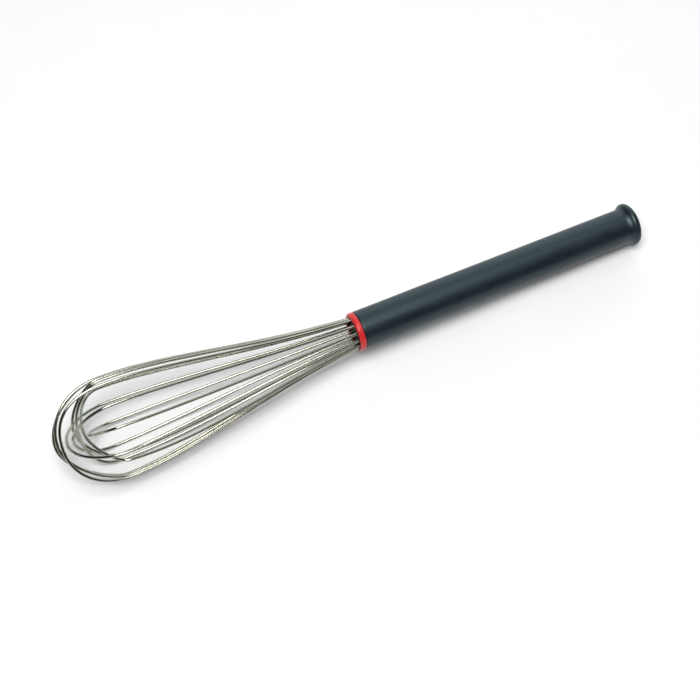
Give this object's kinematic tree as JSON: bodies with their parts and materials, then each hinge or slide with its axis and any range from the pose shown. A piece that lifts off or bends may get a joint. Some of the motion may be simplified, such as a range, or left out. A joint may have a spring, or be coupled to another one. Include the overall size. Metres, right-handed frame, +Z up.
{
  "type": "balloon whisk",
  "caption": "Balloon whisk with nested polished wire loops, a red collar ring and a long dark composite tube handle with a flared, domed butt.",
  "frame": {"origin": "bottom centre of the whole whisk's box as it lies on a bench: it rests on the fullest part of the balloon and on the rim of the flared butt", "axes": "+Z up; +X along the whisk from the balloon towards the butt of the handle, level with the bench (the handle's own centre line slopes down 2.9 degrees towards +X); +Y sideways"},
  "size_m": [0.4508, 0.0694, 0.0724],
  "materials": {
    "dark_composite": "matte, fine moulded grain",
    "plug_composite": "matte, fine moulded grain",
    "red_plastic": "satin gloss",
    "black_plastic": "matte",
    "sealing_resin": "cast, glossy",
    "band_steel": "brushed",
    "polished_steel": "polished drawn wire"
  },
  "bodies": {
    "root": {"handle_shell": "dark_composite", "end_plug": "plug_composite", "collar_ring": "red_plastic", "wire_guide": "black_plastic", "resin_plug": "sealing_resin", "binding_band": "band_steel", "wire_1": "polished_steel", "wire_2": "polished_steel", "wire_3": "polished_steel", "wire_4": "polished_steel", "wire_5": "polished_steel", "wire_6": "polished_steel", "wire_7": "polished_steel", "wire_8": "polished_steel", "wire_9": "polished_steel"}
  },
  "joints": []
}
